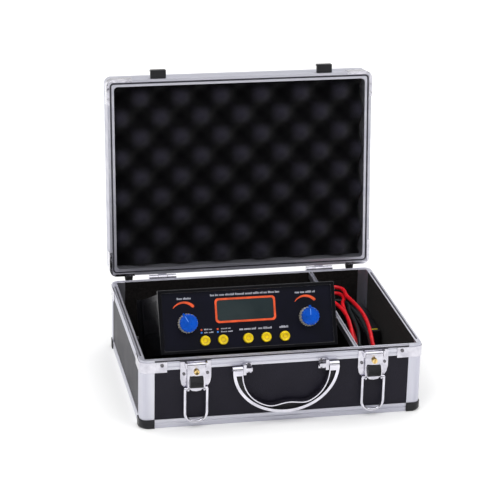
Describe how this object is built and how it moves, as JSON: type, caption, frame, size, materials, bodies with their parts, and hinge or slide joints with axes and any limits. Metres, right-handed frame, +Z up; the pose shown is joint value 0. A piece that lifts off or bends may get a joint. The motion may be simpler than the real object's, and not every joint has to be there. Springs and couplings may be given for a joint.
{
  "type": "insulation resistance tester in a carrying case",
  "caption": "Portable insulation resistance tester with a tilted front panel, display, knobs and push buttons, kept in a hinged foam-lined carrying case with test leads.",
  "frame": {"origin": "centre of the case's underside", "axes": "+Z up, +Y from the latched front to the hinged back, +X to the right seen from the front"},
  "size_m": [0.3224, 0.3095, 0.3316],
  "materials": {
    "black_vinyl": "textured vinyl sheet",
    "satin_aluminium": "satin anodised, ribbed",
    "nickel_plate": "nickel plated steel",
    "bright_chrome": "polished",
    "black_plastic": "moulded, fine grain",
    "black_rubber": "matt",
    "dark_board": "fibreboard",
    "dark_felt": "short pile",
    "dark_foam": "open cell, egg-crate",
    "brass_key": "turned",
    "screw_steel": "dark zinc",
    "tester_black": "fine grain",
    "tester_panel_ink": "printed membrane",
    "orange_ink": "printed",
    "display_glass": "clear",
    "display_grey": "liquid crystal",
    "board_green": "solder mask",
    "battery_sleeve": "shrink sleeve",
    "winding_copper": "enamelled",
    "knob_blue": "moulded",
    "button_yellow": "moulded",
    "red_pvc": "flexible",
    "black_pvc": "flexible"
  },
  "bodies": {
    "case": {"base_panels": "black_vinyl", "base_floor": "dark_board", "base_corner_posts": "satin_aluminium", "base_rim_rails": "satin_aluminium", "base_bottom_rails": "satin_aluminium", "base_corner_caps": "black_plastic", "rim_corner_plates": "nickel_plate", "base_lining": "dark_felt", "floor_pad": "dark_felt", "divider_board": "dark_board", "divider_trim": "satin_aluminium", "latch_plates": "nickel_plate", "handle_brackets": "nickel_plate", "base_hinge_leaves": "nickel_plate", "base_feet": "black_rubber", "base_screws": "screw_steel", "red_lead": "red_pvc", "black_lead": "black_pvc", "red_lead_ends": "red_pvc", "black_lead_ends": "black_pvc", "mains_adapter": "black_plastic"},
    "lid": {"lid_panel": "black_vinyl", "lid_rails": "satin_aluminium", "lid_corner_plates": "nickel_plate", "lid_foam": "dark_foam", "lid_strikes": "black_plastic", "lid_hinge_leaves": "nickel_plate", "lid_feet": "black_rubber"},
    "tester": {"tester_lower_shell": "tester_black", "tester_upper_shell": "tester_black", "tester_bezel": "tester_black", "tester_panel": "tester_panel_ink", "lcd_frame": "orange_ink", "lcd_window": "display_glass", "lcd_module": "display_grey", "circuit_board": "board_green", "battery_pack": "battery_sleeve", "high_voltage_transformer": "winding_copper", "control_pots": "screw_steel", "button_switches": "black_plastic", "tester_rear_panel": "tester_black", "lead_sockets": "red_pvc", "tester_feet": "black_rubber"},
    "handle": {"handle": "bright_chrome"},
    "latch_lever_left": {"latch_lever_left": "nickel_plate", "latch_tab_left": "black_plastic"},
    "latch_loop_left": {"latch_loop_left": "bright_chrome"},
    "lock_left": {"lock_left": "brass_key"},
    "latch_lever_right": {"latch_lever_right": "nickel_plate", "latch_tab_right": "black_plastic"},
    "latch_loop_right": {"latch_loop_right": "bright_chrome"},
    "lock_right": {"lock_right": "brass_key"},
    "knob_left": {"knob_left": "knob_blue"},
    "knob_right": {"knob_right": "knob_blue"},
    "button_1": {"button_1": "button_yellow"},
    "button_2": {"button_2": "button_yellow"},
    "button_3": {"button_3": "button_yellow"},
    "button_4": {"button_4": "button_yellow"},
    "button_5": {"button_5": "button_yellow"}
  },
  "joints": [
    {"name": "lid_hinge", "type": "hinge", "parent": "case", "child": "lid", "pos_m": [0, 0.123, 0.0815], "axis": [1, 0, 0], "range_deg": [0, 96.2]},
    {"name": "tester_lay_flat", "type": "hinge", "parent": "case", "child": "tester", "pos_m": [-0.0352, 0.0668, 0.095], "axis": [1, 0, 0], "range_deg": [0, 25.1]},
    {"name": "handle_swing", "type": "hinge", "parent": "case", "child": "handle", "pos_m": [0.002, -0.124, 0.067], "axis": [-1, 0, 0], "range_deg": [0, 95]},
    {"name": "latch_lever_left_swing", "type": "hinge", "parent": "case", "child": "latch_lever_left", "pos_m": [-0.0986, -0.1235, 0.076], "axis": [-1, 0, 0], "range_deg": [0, 90]},
    {"name": "latch_loop_left_swing", "type": "hinge", "parent": "latch_lever_left", "child": "latch_loop_left", "pos_m": [-0.0986, -0.1239, 0.0475], "axis": [-1, 0, 0], "range_deg": [0, 130]},
    {"name": "lock_left_turn", "type": "hinge", "parent": "latch_lever_left", "child": "lock_left", "pos_m": [-0.0986, -0.1255, 0.0685], "axis": [0, -1, 0], "range_deg": [0, 90]},
    {"name": "latch_lever_right_swing", "type": "hinge", "parent": "case", "child": "latch_lever_right", "pos_m": [0.1026, -0.1235, 0.076], "axis": [-1, 0, 0], "range_deg": [0, 90]},
    {"name": "latch_loop_right_swing", "type": "hinge", "parent": "latch_lever_right", "child": "latch_loop_right", "pos_m": [0.1026, -0.1239, 0.0475], "axis": [-1, 0, 0], "range_deg": [0, 130]},
    {"name": "lock_right_turn", "type": "hinge", "parent": "latch_lever_right", "child": "lock_right", "pos_m": [0.1026, -0.1255, 0.0685], "axis": [0, -1, 0], "range_deg": [0, 90]},
    {"name": "knob_left_turn", "type": "hinge", "parent": "tester", "child": "knob_left", "pos_m": [-0.1037, -0.09585, 0.1138], "axis": [0, -0.9056, 0.4242], "range_deg": [-160, 110]},
    {"name": "knob_right_turn", "type": "hinge", "parent": "tester", "child": "knob_right", "pos_m": [0.0333, -0.09585, 0.1138], "axis": [0, -0.9056, 0.4242], "range_deg": [-135, 135]},
    {"name": "button_1_press", "type": "slide", "parent": "tester", "child": "button_1", "axis": [0, 0.9056, -0.4242], "range_m": [0, 0.0015], "stiffness_N_per_m": 400},
    {"name": "button_2_press", "type": "slide", "parent": "tester", "child": "button_2", "axis": [0, 0.9056, -0.4242], "range_m": [0, 0.0015], "stiffness_N_per_m": 400},
    {"name": "button_3_press", "type": "slide", "parent": "tester", "child": "button_3", "axis": [0, 0.9056, -0.4242], "range_m": [0, 0.0015], "stiffness_N_per_m": 400},
    {"name": "button_4_press", "type": "slide", "parent": "tester", "child": "button_4", "axis": [0, 0.9056, -0.4242], "range_m": [0, 0.0015], "stiffness_N_per_m": 400},
    {"name": "button_5_press", "type": "slide", "parent": "tester", "child": "button_5", "axis": [0, 0.9056, -0.4242], "range_m": [0, 0.0015], "stiffness_N_per_m": 400}
  ],
  "couplings": [
    {"joint": "tester_lay_flat", "follows": "lid_hinge", "ratio": 0.26092}
  ]
}
